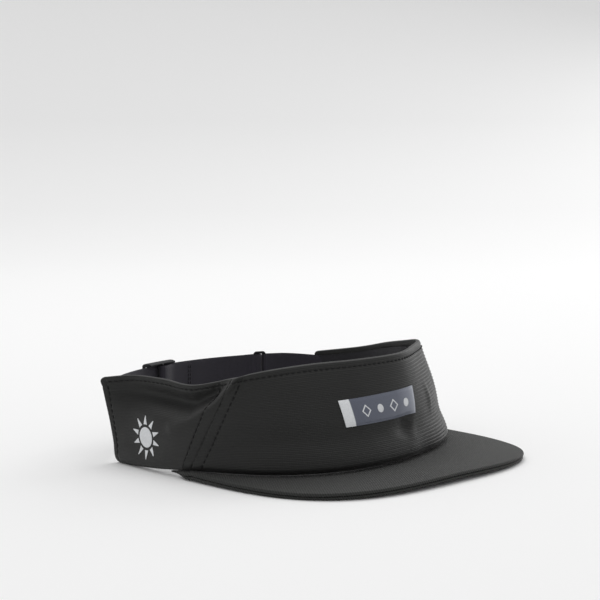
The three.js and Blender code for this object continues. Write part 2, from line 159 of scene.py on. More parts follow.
# A pull is a soft ridge or hollow: its path, width and height.
LEFT_CREASE = ([(0.612, 0.68), (0.620, 0.5), (0.620, 0.33)], 2.2, 0.8)
PULLS = [
    ([(0.572, 0.44), (0.562, 0.3), (0.558, 0.16)], 2.6, 0.7),
    ([(0.30, 0.62), (0.37, 0.5), (0.44, 0.42)], 7.0, 0.45),
    ([(0.33, 0.9), (0.42, 0.8), (0.52, 0.8)], 6.0, 0.3),
    ([(0.29, 0.3), (0.36, 0.24), (0.44, 0.28)], 5.0, 0.4),
    ([(0.03, 0.3), (0.09, 0.18), (0.15, 0.22)], 5.0, -0.5),
    ([(0.05, 0.66), (0.12, 0.56), (0.17, 0.62)], 6.0, 0.5),
    ([(0.66, 0.8), (0.7, 0.55), (0.72, 0.3)], 6.0, 0.6),
    ([(0.84, 0.75), (0.88, 0.6), (0.95, 0.55)], 7.0, -0.9),
    ([(0.8, 0.95), (0.82, 0.7), (0.85, 0.5)], 5.0, 0.9),
]
# The roll above the brim, the dent over it and the pinched foot, by height v.
ROLL_LOW, ROLL_HIGH, ROLL_FRONT, ROLL_CORNER = 0.075, 0.33, 2.5, 1.7
DENT_V, DENT_HALF, DENT_FRONT, DENT_CORNER = 0.34, 0.12, 0.9, 0.3
SIDE_ROLL_V, SIDE_ROLL_HALF, SIDE_ROLL = 0.1, 0.09, 0.8
FOOT_HALF = 0.035


def pulled(u, v, path, width, height):
    far, along = to_path(u, v, path)
    return height * bell(far, width) * np.sin(math.pi * np.clip(along, 0.02, 0.98))


def folds(u, v):
    """How far the cloth stands out of its smooth surface, in millimetres."""
    out = softness(u, v)
    far, along = to_path(u, v, NEAR_RIDGE)
    out += RIDGE_HEIGHT * bell(far, RIDGE_WIDTH) * (1 - 0.6 * along)
    far, along = to_path(u, v, NEAR_VALLEY)
    out -= VALLEY_DEPTH * bell(far, VALLEY_WIDTH) * smooth(along, -0.1, 0.5)
    out += pulled(u, v, *LEFT_CREASE)
    far, along = to_path(u, v, LEFT_PINCH)
    out -= PINCH_DEPTH * bell(far, PINCH_WIDTH) * (1 - smooth(along, 0.3, 1.1)) * smooth(along, -0.4, 0.3)
    for pull in PULLS:
        out += pulled(u, v, *pull)
    corner = smooth(u, 0.57, 0.61) * (1 - smooth(u, 0.74, 0.81))
    front = smooth(u, 0.23, 0.32) * (1 - smooth(u, 0.55, 0.60))
    rise = np.sqrt(np.clip(1 - (np.clip(ROLL_LOW - v, 0, ROLL_LOW) / ROLL_LOW) ** 2, 0, 1))
    roll = np.where(v < ROLL_LOW, rise, 1 - smooth(v, ROLL_LOW, ROLL_HIGH))
    out += (ROLL_FRONT * front + ROLL_CORNER * corner) * roll
    out -= (DENT_FRONT * front + DENT_CORNER * corner) * bell(v - DENT_V, DENT_HALF)
    foot = bell(v, FOOT_HALF)
    out -= (front + corner) * foot
    side = 1 - np.clip(front + corner, 0, 1)
    out += side * SIDE_ROLL * bell(v - SIDE_ROLL_V, SIDE_ROLL_HALF) - side * foot
    return out


# A broad hollow in the near side panel, at (u, v), with half widths in u and v.
HOLLOW_DEPTH, HOLLOW_U, HOLLOW_V, HOLLOW_WIDE, HOLLOW_TALL = 2.2, 0.15, 0.8, 0.07, 0.14


def band(u, v, depth=0.0, folded=True):
    """Point of the headband: u round it, v up it, depth inwards from its outer face."""
    u, v = np.broadcast_arrays(np.asarray(u, float), np.asarray(v, float))
    low, high = catmull(LOW, u), catmull(HIGH, u)
    step = 1e-3
    ahead, behind = u + step, u - step
    run = catmull(LOW, ahead) + catmull(HIGH, ahead) - catmull(LOW, behind) - catmull(HIGH, behind)
    out = np.stack([run[..., 1], -run[..., 0], 0 * run[..., 0]], -1)
    out /= np.linalg.norm(out, axis=-1, keepdims=True)
    swell = np.interp(u, SWELL[:, 0], SWELL[:, 1]) * np.sin(math.pi * np.clip(v, 0, 1))
    hollow = np.exp(-(((u - HOLLOW_U) / HOLLOW_WIDE) ** 2) - ((v - HOLLOW_V) / HOLLOW_TALL) ** 2)
    swell = swell - HOLLOW_DEPTH * hollow
    if folded:
        swell = swell + folds(u, v)
    return low + (high - low) * v[..., None] + out * (swell - depth)[..., None] + (0, ORIGIN_Y, 0)


REAR_RIGHT_U, REAR_LEFT_U = -0.006, 1.007
TABLE_U = np.linspace(REAR_RIGHT_U, REAR_LEFT_U, 3001)
TABLE_V = 0.55
TABLE_S = lengths_along(band(TABLE_U, TABLE_V, folded=False))


def length_at(u):
    """Millimetres round the headband from its right rear end."""
    return np.interp(u, TABLE_U, TABLE_S)


def u_at(length):
    return np.interp(length, TABLE_S, TABLE_U)


SEAMS = [float(length_at(SEAM_RIGHT)), float(length_at(SEAM_LEFT))]
TOTAL = float(TABLE_S[-1])
HEM_ROW, HEM_EDGE = 0.938, 0.952  # heights of the hem's stitches and of its turned edge
STITCH = 3.0
END_ROW = 3.0
SEAM_ROWS = ((6.0, 2.2), (6.2, -1.6))
# Relief in millimetres: the ribs stand higher on the left, as the photo's light shows them.
RIB_FRONT, RIB_LEFT, RIB_END = 0.03, 0.18, 0.02
HEM_HEIGHT = 0.2
HEM_GROOVE, SEAM_GROOVE, ROW_GROOVE, STITCH_PULL, GROOVE_WIDTH = 0.18, 0.2, 0.12, 0.28, 0.6


def seam_rows(v):
    """Distances from a seam to the two rows of stitches beside it, the first on its side panel."""
    return [at + lean * (1 - v) for at, lean in SEAM_ROWS]


def relief(u, v):
    """Ribs, sewn grooves and the turned hem, as millimetres proud of the folded surface."""
    s = length_at(u)
    near = 1 - 0.75 * smooth(u, 0.58, 0.66)
    height = RIB_FRONT + RIB_LEFT * smooth(u, 0.56, 0.64) + RIB_END * (1 - smooth(u, 0.02, 0.06))
    rib = height * np.cos(2 * math.pi * v * RIBS) * smooth(v, 0.0, 0.03)
    rib = rib * (1 - near * smooth(v, 0.93, HEM_EDGE))
    pucker = 0.5 + 0.5 * np.cos(2 * math.pi * s / STITCH)
    hem = HEM_HEIGHT * smooth(v, HEM_ROW, HEM_EDGE) * near
    sewn = (HEM_GROOVE + STITCH_PULL * pucker) * near
    out = rib + hem - sewn * bell((v - HEM_ROW) * BAND_HEIGHT, GROOVE_WIDTH)
    run = 0.5 + 0.5 * np.cos(2 * math.pi * v * BAND_HEIGHT / STITCH)
    rows = []
    for seam, side in zip(SEAMS, (-1, 1)):
        behind, ahead = seam_rows(v)
        rows += [(s - seam) * side - behind, (s - seam) * side + ahead]
        out = out - (SEAM_GROOVE + STITCH_PULL * run) * bell(s - seam, GROOVE_WIDTH)
    rows += [s - END_ROW, s - (TOTAL - END_ROW)]
    for distance in rows:
        out = out - (ROW_GROOVE + STITCH_PULL * run) * bell(distance, GROOVE_WIDTH)
    return out


# ---- mesh helpers

SOFT_ANGLE, SHARP_ANGLE = 52, 10  # faces that meet at more than this keep a crisp edge


def make(name, points, faces, material, body="band", uv=None, node=None, slot=None, sharp=False):
    """Adds a mesh piece from millimetre points, riding on a body and standing for a CAD node."""
    mesh = bpy.data.meshes.new(name)
    mesh.from_pydata((np.asarray(points) * MM).tolist(), [], [tuple(int(i) for i in f) for f in faces])
    if uv is not None:
        layer = mesh.uv_layers.new(name="cloth")
        index = np.empty(len(mesh.loops), np.int32)
        mesh.loops.foreach_get("vertex_index", index)
        layer.data.foreach_set("uv", np.asarray(uv, np.float32)[index].ravel())
    mesh.validate()
    mesh.update()
    mesh.shade_smooth()
    mesh.set_sharp_from_angle(angle=math.radians(SHARP_ANGLE if sharp else SOFT_ANGLE))
    mesh.materials.append(material)
    obj = bpy.data.objects.new(name, mesh)
    bpy.context.scene.collection.objects.link(obj)
    if body:
        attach(obj, body)
    if node:
        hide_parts(node)
    return obj


def ring_faces(rings, size, closed=False, fold=None):
    """Quads between equal closed rings, with end caps across a ring that folds back at point `fold`."""
    i = np.arange(rings if closed else rings - 1)[:, None]
    j = np.arange(size)[None, :]
    a, b = i * size + j, i * size + (j + 1) % size
    up = ((i + 1) % rings) * size
    faces = np.stack([a, b, up + (j + 1) % size, up + j], -1).reshape(-1, 4).tolist()
    if closed:
        return faces
    fold = fold or size // 2
    there, back = list(range(fold)), list(range(size - 1, fold - 1, -1))
    end = (rings - 1) * size
    cap = zip_cap(there, back)
    faces += [tuple(reversed(f)) for f in cap]
    faces += [tuple(end + q for q in f) for f in cap]
    return faces


def outward(points, faces):
    """Turns the faces over if they enclose a negative volume."""
    p = np.asarray(points, float)
    corners = np.array([tuple(f) + (f[-1],) * (4 - len(f)) for f in faces])
    a, b, c, d = (p[corners[:, k]] for k in range(4))
    total = np.einsum("ij,ij->", a, np.cross(b, c)) + np.einsum("ij,ij->", a, np.cross(c, d))
    return faces if total > 0 else [tuple(reversed(f)) for f in faces]


def zip_cap(first, second):
    """Triangles between two rows of point numbers that share the same course, of any two counts."""
    faces, i, j = [], 0, 0
    last_i, last_j = len(first) - 1, len(second) - 1
    while i < last_i or j < last_j:
        if j == last_j or (i < last_i and (i + 1) * last_j <= (j + 1) * last_i):
            faces.append((first[i], first[i + 1], second[j]))
            i += 1
        else:
            faces.append((first[i], second[j + 1], second[j]))
            j += 1
    return faces


def loft(name, grid, material, uv, fold=None, **rest):
    """A closed piece from rings[ring, point, xyz]. Each ring goes out to its point `fold` and comes back."""
    rings, size = grid.shape[:2]
    points = grid.reshape(-1, 3)
    faces = outward(points, ring_faces(rings, size, fold=fold))
    return make(name, points, faces, material, uv=uv.reshape(-1, 2), **rest)


def tube(path, radius, sides, closed=False, flat=1.0, up=(0, 0, 1)):
    """Points and faces of a bar along a path, round or with its height `flat` times its width."""
    path = np.asarray(path, float)
    count = len(path)
    if closed:
        run = np.roll(path, -1, 0) - np.roll(path, 1, 0)
    else:
        run = np.gradient(path, axis=0)
    run /= np.linalg.norm(run, axis=1, keepdims=True)
    side = np.cross(run, np.array(up, float))
    weak = np.linalg.norm(side, axis=1) < 1e-3
    side[weak] = np.cross(run[weak], (1.0, 0, 0))
    side /= np.linalg.norm(side, axis=1, keepdims=True)
    top = np.cross(side, run)
    turn = circle(sides)
    ring = side[:, None] * np.cos(turn)[None, :, None] + top[:, None] * np.sin(turn)[None, :, None] * flat
    points = (path[:, None] + radius * ring).reshape(-1, 3)
    faces = ring_faces(count, sides, closed)
    return points, outward(points, faces)


def circle(sides):
    return np.linspace(0, 2 * math.pi, sides, endpoint=False)


def disc_faces(rings, sides):
    """Faces of a disc whose centre is point 0, followed by its rings from the inside out."""
    faces = []
    for j in range(sides):
        k = (j + 1) % sides
        faces.append([0, 1 + j, 1 + k])
        for i in range(rings - 1):
            a, b = 1 + i * sides + j, 1 + i * sides + k
            faces.append([a, a + sides, b + sides, b])
    return faces


def pairs(a, b):
    return np.stack(np.broadcast_arrays(a, b), -1)


def join(parts):
    """Several (points, faces) as one."""
    points, faces, start = [], [], 0
    for p, f in parts:
        points.append(p)
        faces += [tuple(i + start for i in face) for face in f]
        start += len(p)
    return np.vstack(points), faces


# ---- materials

def fill(node, **settings):
    """Sets a node's properties and inputs by name. An input takes a value or another node's output."""
    for key, value in settings.items():
        socket = key.replace("_", " ")
        if hasattr(node, key):
            setattr(node, key, value)
        elif isinstance(value, bpy.types.NodeSocket):
            node.id_data.links.new(value, node.inputs[socket])
        else:
            node.inputs[socket].default_value = value
    return node


def add(tree, kind, **settings):
    return fill(tree.nodes.new("ShaderNode" + kind), **settings)


def new_material(name, color, roughness, **sockets):
    material = bpy.data.materials.new(name)
    material.use_nodes = True
    tree = material.node_tree
    shader = fill(tree.nodes["Principled BSDF"], Base_Color=(*color, 1), Roughness=roughness, **sockets)
    return material, tree, shader


def cloth_wave(tree, pitch, angle):
    """A stripe pattern of the given pitch in millimetres over the cloth's own coordinates."""
    coords = add(tree, "UVMap", uv_map="cloth")
    turn = add(tree, "Mapping", Vector=coords.outputs["UV"], Rotation=(0, 0, angle))
    wave = add(tree, "TexWave", wave_type="BANDS", bands_direction="X", Vector=turn.outputs["Vector"],
               Scale=math.pi / (10 * pitch))
    return wave.outputs["Fac"]


def calc(tree, operation, *values):
    node = add(tree, "Math", operation=operation)
    for k, value in enumerate(values):
        if isinstance(value, (int, float)):
            node.inputs[k].default_value = value
        else:
            tree.links.new(value, node.inputs[k])
    return node.outputs[0]


def noise(tree, scale, detail):
    coords = add(tree, "TexCoord")
    tex = add(tree, "TexNoise", Vector=coords.outputs["Object"], Scale=scale, Detail=detail, Roughness=0.6)
    return tex.outputs["Fac"]


def ramp(tree, factor, stops):
    node = add(tree, "ValToRGB", Fac=factor)
    elements = node.color_ramp.elements
    while len(elements) < len(stops):
        elements.new(0.5)
    for element, (place, color) in zip(elements, stops):
        element.position = place
        element.color = (*color, 1)
    return node.outputs["Color"]


def remap(tree, source, **spans):
    return add(tree, "MapRange", Value=source, **spans).outputs["Result"]


def bump(tree, shader, height, distance, strength):
    """Bump whose distance is in millimetres."""
    node = add(tree, "Bump", Height=height, Distance=distance * MM, Strength=strength)
    fill(shader, Normal=node.outputs["Normal"])


FUZZ_SHARE, SLOW_SHARE, ROUGH_SPREAD = 0.75, 0.35, 0.08


def woven(name, dark, light, pitches, angles, rough, sheen, depth, speckle=900, weave_shading=0.5, lead=0.3):
    """Cloth of crossing yarns, uneven in tone, with painted shade between the yarns and a painted highlight
    on their crowns, where its bump dips and rises.
    """
    material, tree, shader = new_material(
        name, dark, rough, Sheen_Weight=sheen, Sheen_Roughness=0.4, Specular_IOR_Level=0.35)
    first, second = (cloth_wave(tree, pitch, angle) for pitch, angle in zip(pitches, angles))
    lesser = calc(tree, "MULTIPLY", second, 1 - lead)
    weave = calc(tree, "MULTIPLY", first, calc(tree, "ADD", lesser, lead))
    fuzz, slow = noise(tree, speckle, 4), noise(tree, 24, 2)
    # The weave's share of the tone is painted shade between the yarns and a painted highlight on their
    # crowns; the noises add the yarns' own uneven tone.
    tone = calc(tree, "MULTIPLY", weave, weave_shading)
    for source, share in ((fuzz, FUZZ_SHARE), (slow, SLOW_SHARE)):
        tone = calc(tree, "ADD", tone, calc(tree, "MULTIPLY", source, share))
    fill(shader, Base_Color=ramp(tree, tone, [(0.35, dark), (0.6 + weave_shading, light)]), Roughness=remap(
        tree, fuzz, From_Min=0.3, From_Max=0.7, To_Min=rough - ROUGH_SPREAD, To_Max=rough + ROUGH_SPREAD))
    bump(tree, shader, calc(tree, "ADD", weave, calc(tree, "MULTIPLY", fuzz, 0.6)), depth, 0.8)
    return material


def speckled(name, dark, light, rough, depth=0.05, strength=0.7, scale=700, detail=4, span=(0.3, 0.75),
             base=None, **sockets):
    """A plain surface with a fine uneven tone and a light bump. Also gives its node tree, shader and tone."""
    material, tree, shader = new_material(name, base or dark, rough, **sockets)
    tone = noise(tree, scale, detail)
    fill(shader, Base_Color=ramp(tree, tone, list(zip(span, (dark, light)))))
    bump(tree, shader, tone, depth, strength)
    return material, tree, shader, tone


def plastic_material():
    material, tree, shader, tone = speckled(
        "hardware_plastic", (0.008, 0.008, 0.010), (0.016, 0.016, 0.018), 0.55, 0.03, 0.5, 500, 3, (0.3, 0.8),
        (0.010, 0.010, 0.012), Specular_IOR_Level=0.3)
    fill(shader, Roughness=remap(tree, tone, To_Min=0.5, To_Max=0.68))
    return material


def satin_material():
    """Blue-grey satin with a white block at its left end, paled towards its right end by a painted highlight
    where it turns to the light.
    """
    material, tree, shader = new_material(
        "label_satin", (0.09, 0.1, 0.13), 0.42, Sheen_Weight=0.15, Specular_IOR_Level=0.5)
    coords = add(tree, "UVMap", uv_map="cloth")
    split = add(tree, "SeparateXYZ", Vector=coords.outputs["UV"])
    white, dark = (0.84, 0.86, 0.88), (0.105, 0.117, 0.160)
    # The last two stops are a painted highlight: glare on the satin where it turns, near its right end.
    stops = [(0.0, white), (0.12, white), (0.127, dark), (0.72, (0.112, 0.125, 0.168)),
             (0.9, (0.20, 0.216, 0.268)), (1.0, (0.34, 0.36, 0.42))]
    threads = noise(tree, 1800, 3)
    tint = remap(tree, threads, To_Min=0.78, To_Max=1.2)
    mix = add(tree, "VectorMath", operation="SCALE", Vector=ramp(tree, split.outputs["X"], stops), Scale=tint)
    fill(shader, Base_Color=mix.outputs["Vector"])
    bump(tree, shader, threads, 0.04, 0.6)
    return material


UP = math.pi / 2
SHELL = woven("shell_fabric", (0.0040, 0.0041, 0.0038), (0.0180, 0.0183, 0.0174), (0.78, 0.9), (UP, 0),
              rough=0.55, sheen=0.10, depth=0.07, lead=0.7)
BRIM_CLOTH = woven("brim_fabric", (0.0045, 0.0047, 0.0044), (0.031, 0.032, 0.030), (1.1, 0.7),
                   (math.radians(37), math.radians(-53)), rough=0.74, sheen=0.06, depth=0.2, weave_shading=1.2,
                   lead=0.75)
LINING = woven("lining_fabric", (0.010, 0.010, 0.0115), (0.032, 0.031, 0.036), (0.7, 0.7), (0, UP),
               rough=0.85, sheen=0.15, depth=0.1)
TERRY = woven("sweatband_terry", (0.006, 0.006, 0.007), (0.026, 0.026, 0.029), (1.1, 1.3), (0.3, UP),
              rough=0.9, sheen=0.3, depth=0.4, speckle=1500)
WEBBING = woven("strap_webbing", (0.0130, 0.0120, 0.0168), (0.041, 0.037, 0.050), (0.8, 0.55), (0, UP),
                rough=0.8, sheen=0.2, depth=0.14)
THREAD = speckled("sewing_thread", (0.0010, 0.0010, 0.0012), (0.0040, 0.0040, 0.0044), 0.85)[0]
PLASTIC, SATIN = plastic_material(), satin_material()
FILM = speckled("print_white", (0.68, 0.70, 0.72), (0.80, 0.81, 0.83), 0.5, 0.02, 0.4, 900, 4,
                (0.25, 0.75), (0.75, 0.77, 0.79))[0]
BOARD = speckled("brim_board", (0.5, 0.5, 0.47), (0.65, 0.65, 0.62), 0.7)[0]
FELT = speckled("interlining", (0.2, 0.2, 0.19), (0.3, 0.3, 0.29), 0.95, 0.15)[0]

# ---- camera, floor and light

CAMERA = Vector((-508.28, -502.03, 141.49)) * MM
AZIMUTH, PITCH = math.radians(-44.73), math.radians(4.99)
LENS, SENSOR = 85.02, 36


def add_camera():
    data = bpy.data.cameras.new("camera")
    data.lens, data.sensor_width = LENS, SENSOR
    data.clip_start, data.clip_end = 0.05, 50
    camera = bpy.data.objects.new("camera", data)
    flat = math.cos(PITCH)
    back = Vector((math.sin(AZIMUTH) * flat, -math.cos(AZIMUTH) * flat, math.sin(PITCH)))
    camera.location = CAMERA
    camera.rotation_euler = back.to_track_quat("Z", "Y").to_euler()
    bpy.context.scene.collection.objects.link(camera)
    bpy.context.scene.camera = camera


FLOOR_FLAT, FLOOR_CURVE, FLOOR_SIDES = 1500, 4500, 96
PAPER_REACH = 4.0
# Distance in metres and the paper's brightness there, white paper with painted shade, set against the photo's
# background.
PAPER_SHADE_TONES = ((0.0, 0.96), (0.5, 0.945), (2.3, 0.835), (3.1, 0.835), (3.9, 0.93))


def add_stage():
    """A pale floor that curves up into a backdrop on every side, its colour painted darker with distance,
    most where the backdrop starts to rise, as painted shade.
    """
    material, tree, shader = new_material("floor_paper", (0.9, 0.9, 0.9), 0.9, Specular_IOR_Level=0.2)
    coords = add(tree, "TexCoord")
    away = add(tree, "VectorMath", operation="LENGTH", Vector=coords.outputs["Object"])
    share = remap(tree, away.outputs["Value"], From_Max=PAPER_REACH)
    shaded_tones = [(place / PAPER_REACH, (tone, tone, tone)) for place, tone in PAPER_SHADE_TONES]
    # Painted shade: the white paper's colour is darkened by distance from the middle.
    fill(shader, Base_Color=ramp(tree, share, shaded_tones))
    slope = np.radians(np.linspace(0, 45, 32))
    far = np.concatenate([[60, 300, 700, 1100], FLOOR_FLAT + FLOOR_CURVE * np.sin(slope)])
    high = np.concatenate([[0, 0, 0, 0], FLOOR_CURVE * (1 - np.cos(slope))])
    turn = circle(FLOOR_SIDES)
    rings = [np.column_stack([r * np.cos(turn), r * np.sin(turn), 0 * turn + z]) for r, z in zip(far, high)]
    points = np.vstack([np.zeros((1, 3))] + rings)
    make("floor", points, disc_faces(len(rings), FLOOR_SIDES), material, body=None)


LIGHT_TARGET = Vector((0, 0, 0.03))
WORLD_STRENGTH, KEY_POWER, OVERHEAD_POWER = 0.53, 24, 53


def area_light(name, at, size, power):
    data = bpy.data.lights.new(name, "AREA")
    data.shape, data.size, data.size_y = "RECTANGLE", size, size
    data.energy = power
    light = bpy.data.objects.new(name, data)
    light.location = at
    light.rotation_euler = (Vector(at) - LIGHT_TARGET).to_track_quat("Z", "Y").to_euler()
    bpy.context.scene.collection.objects.link(light)


def add_lights():
    world = bpy.data.worlds.new("studio")
    world.use_nodes = True
    background = world.node_tree.nodes["Background"]
    background.inputs["Color"].default_value = (1, 1, 1, 1)
    background.inputs["Strength"].default_value = WORLD_STRENGTH
    bpy.context.scene.world = world
    area_light("key_right", (3.0, 0.3, 1.5), 2.0, KEY_POWER)
    area_light("overhead", (0.7, 1.0, 3.2), 3.0, OVERHEAD_POWER)
    bpy.context.scene.view_settings.view_transform = "Standard"


add_camera()
add_stage()
add_lights()

# ---- headband panels

HEM_RADIUS, HEM_V = 1.0, 0.98
RIB_SAMPLES = 4
CORNER = 3.0
COARSE, FINE, NEAR = 0.75, 0.25, 9.5  # spacing away from and beside a seam, and how far beside it reaches
LINING_DEPTH, HEM_EXTRA = 0.95, 0.2
END_BEND, END_PULL, SKIN_MIDDLE = 0.9, 0.6, 0.5


def spread(start, end):
    """Places between two lengths round the band, closer together beside a seam or a panel's end."""
    first = np.arange(start, start + NEAR, FINE)
    last = np.arange(end, end - NEAR, -FINE)[::-1]
    middle = np.linspace(first[-1], last[0], max(2, round((last[0] - first[-1]) / COARSE) + 1))[1:-1]
    return u_at(np.concatenate([first, middle, last]))


def end_rounding(u, v, open_start, open_end):
    """Rounds a panel's free corners: how much of the height is left near its open end."""
    s = length_at(u)
    room = np.full(np.shape(s), CORNER, float)
    if open_start:
        room = np.minimum(room, s)
    if open_end:
        room = np.minimum(room, TOTAL - s)
    cut = (CORNER - np.sqrt(np.clip(CORNER**2 - (CORNER - room) ** 2, 0, None))) / BAND_HEIGHT
    return cut + v * (1 - 2 * cut)


def shell_grid(u, open_start, open_end):
    """Rings of one panel: up the outer face with its ribs, over the rolled hem and down the inner face."""
    outer_v = np.append(np.arange(0, HEM_V * RIBS, 1 / RIB_SAMPLES) / RIBS, HEM_V)
    turn = np.linspace(0, math.pi, 9)[1:-1]
    roll_v = HEM_V + np.sin(turn) * HEM_RADIUS / BAND_HEIGHT
    inner_v = np.concatenate([[HEM_V, 0.955, 0.925, 0.915], np.linspace(0.88, 0, 22)])
    inner_depth = np.where(inner_v > 0.92, 2 * HEM_RADIUS, LINING_DEPTH)
    v = np.concatenate([outer_v, roll_v, inner_v])
    proud = relief(u[:, None], outer_v[None, :])
    depth = np.zeros((len(u), len(v)))
    depth[:, :len(outer_v)] = -proud
    rolled = HEM_RADIUS * (1 - np.cos(turn)) - HEM_EXTRA * (1 + np.cos(turn)) / 2
    depth[:, len(outer_v):len(outer_v) + len(turn)] = rolled
    depth[:, -len(inner_v):] = inner_depth
    s = length_at(u)
    for is_open, room in ((open_start, s), (open_end, TOTAL - s)):
        if is_open:
            bend = np.clip(1 - room / END_BEND, 0, 1)
            pull = END_PULL * (1 - np.sqrt(1 - bend**2))[:, None]
            depth += pull * np.sign(SKIN_MIDDLE - depth)
    height = end_rounding(u[:, None] + 0 * v[None, :], v[None, :], open_start, open_end)
    grid = band(u[:, None] + 0 * height, height, depth)
    uv = pairs(s[:, None], v[None, :] * BAND_HEIGHT)
    return grid, uv, len(outer_v) + len(turn) // 2


def add_shell(name, node, start, end, open_start=False, open_end=False):
    u = spread(start, end)
    grid, uv, fold = shell_grid(u, open_start, open_end)
    return loft(name, grid, SHELL, uv=uv, fold=fold, node=node, slot="shell_fabric")


def add_layer(name, node, span, heights, depths, counts, material, slot, ripple=0.0):
    """A thin layer of the band between two lengths round it and two heights."""
    u = u_at(np.linspace(*span, counts[0]))
    v = np.linspace(*heights, counts[1])
    around = np.concatenate([v, v[::-1]])
    depth = np.concatenate([np.full(len(v), depths[0]), np.full(len(v), depths[1])])[None, :] + 0 * u[:, None]
    wave = ripple * np.sin(length_at(u) * 0.9)[:, None] * np.sin(around * 21)[None, :]
    grid = band(u[:, None], around[None, :], depth + wave)
    uv = pairs(length_at(u)[:, None], around[None, :] * BAND_HEIGHT)
    return loft(name, grid, material, uv=uv, node=node, slot=slot)


SEAM_GAP = 0.05


def add_panels():
    right, left = SEAMS
    add_shell("shell_front", "front_panel", right + SEAM_GAP, left - SEAM_GAP)
    add_shell("shell_right", "side_panel_right", 0.0, right - SEAM_GAP, open_start=True)
    add_shell("shell_left", "side_panel_left", left + SEAM_GAP, TOTAL, open_end=True)
    lining = dict(heights=(0.012, 0.932), depths=(2.25, 2.65), material=LINING, slot="lining_fabric",
                  ripple=0.05)
    add_layer("lining_front", "front_lining", (right + SEAM_GAP, left - SEAM_GAP), counts=(200, 36), **lining)
    add_layer("lining_right", "side_lining_right", (1.6, right - SEAM_GAP), counts=(80, 36), **lining)
    add_layer("lining_left", "side_lining_left", (left + SEAM_GAP, TOTAL - 1.6), counts=(60, 36), **lining)
    add_layer("interlining", "front_interlining", (right + 2, left - 2), (0.03, 0.9), (1.1, 1.9),
              (110, 20), FELT, "interlining")
    for side, seam in (("right", right), ("left", left)):
        add_layer("seam_cover_" + side, "seam_tape_" + side, (seam - 4, seam + 4), (0.58, 0.925),
                  (2.75, 3.2), (14, 16), LINING, "lining_fabric")
    add_layer("sweat_terry", "sweatband", (8, TOTAL - 8), (0.02, 0.6), (2.85, 4.4), (300, 30), TERRY,
              "sweatband_terry", ripple=0.12)


add_panels()

# ---- brim

def brim_outline(turn):
    across = np.abs(np.sin(turn) / BRIM["half_width"]) ** BRIM["squareness"]
    ahead = np.abs(np.cos(turn) / BRIM["depth"]) ** BRIM["squareness"]
    reach = (across + ahead) ** (-1 / BRIM["squareness"])
    return np.stack([reach * np.sin(turn), BRIM["front"] + BRIM["depth"] - reach * np.cos(turn)], -1)


HEEL_STEPS, HEEL_RIGHT, HEEL_LEFT = 26, 0.165, 0.885
HEEL_TUCK, HEEL_OUT = 1.6, 0.3
SKIN = 0.55  # thickness of a brim cover
BOARD_INSET, BOARD_DROP, BOARD_BACK, BOARD_SHORT = 4.6, 0.62, 0.15, 9


def plan_line(u, depth):
    """Plan points of the headband's smooth lower edge, without the frame's shift."""
    return band(u, 0 * u, depth, folded=False)[:, :2] - (0, ORIGIN_Y)


def brim_rails():
    """Inner and outer plan lines of the brim, with its full share of thickness, from heel to heel."""
    s = np.linspace(0, 1, 261)
    u = SEAM_RIGHT + (SEAM_LEFT - SEAM_RIGHT) * s
    inner = plan_line(u, BRIM["tuck"])
    outer = brim_outline(math.pi * (s - 0.5))
    share = np.ones(len(s))
    k = np.linspace(0, 1, HEEL_STEPS + 1)[:-1]
    heels = []
    for seam, end in ((SEAM_RIGHT, HEEL_RIGHT), (SEAM_LEFT, HEEL_LEFT)):
        heel_u = end + (seam - end) * k
        tuck = HEEL_TUCK + (BRIM["tuck"] - HEEL_TUCK) * smooth(k, 0, 1)
        inside = plan_line(heel_u, tuck)
        edge = plan_line(heel_u, HEEL_OUT)
        side = -1 if seam == SEAM_RIGHT else 1
        corner = outer[0] if side < 0 else outer[-1]
        start = edge[0]
        curve = np.column_stack([
            edge[:, 0] + (corner[0] - edge[-1, 0]) * smooth(k, 0, 1.15) / smooth(k[-1], 0, 1.15),
            start[1] + (corner[1] - start[1]) * k,
        ])
        heels.append((inside, curve, 0.22 + 0.78 * smooth(k, -0.1, 1.0), heel_u))
    (in_r, out_r, share_r, u_r), (in_l, out_l, share_l, u_l) = heels
    inner = np.vstack([in_r, inner, in_l[::-1]])
    outer = np.vstack([out_r, outer, out_l[::-1]])
    share = np.concatenate([share_r, share, share_l[::-1]])
    u = np.concatenate([u_r, u, u_l[::-1]])
    return inner, outer, share, u


def brim_grid(profile):
    """Rings across the brim from corners of (way out, inset from the edge, depth below the top)."""
    inner, outer, share, u = brim_rails()
    out = outer - inner
    width = np.linalg.norm(out, axis=1)
    way, inset, drop = (np.array(c, float) for c in zip(*profile))
    reach = np.clip(way[None, :] - inset[None, :] * share[:, None] / width[:, None], 0, 1)
    xy = inner[:, None] + out[:, None] * reach[..., None]
    x, y = xy[..., 0], xy[..., 1]
    top = brim_top(x, y) - brim_dip(x, y) * (1 - smooth(reach, 0.05, 0.85))
    ceiling = band(u, 0 * u, 0.0, folded=False)[:, 2] - 0.35
    heel = share < 0.9999
    thick = BRIM["thickness"]
    middle = np.where(
        heel[:, None], np.minimum(top, ceiling[:, None]) - thick * share[:, None] / 2, top - thick / 2)
    z = middle + (thick / 2 - drop[None, :]) * share[:, None]
    z = z + 0.06 * np.sin(x / 13 + 1) * np.sin(y / 9) * (share[:, None] > 0.99)
    z = np.maximum(z, 0.02 + 0.01 * (thick - drop[None, :]))
    grid = np.concatenate([xy + (0, ORIGIN_Y), z[..., None]], -1)
    uv = grid[..., :2].copy()
    uv[..., 1] += drop
    return grid, uv


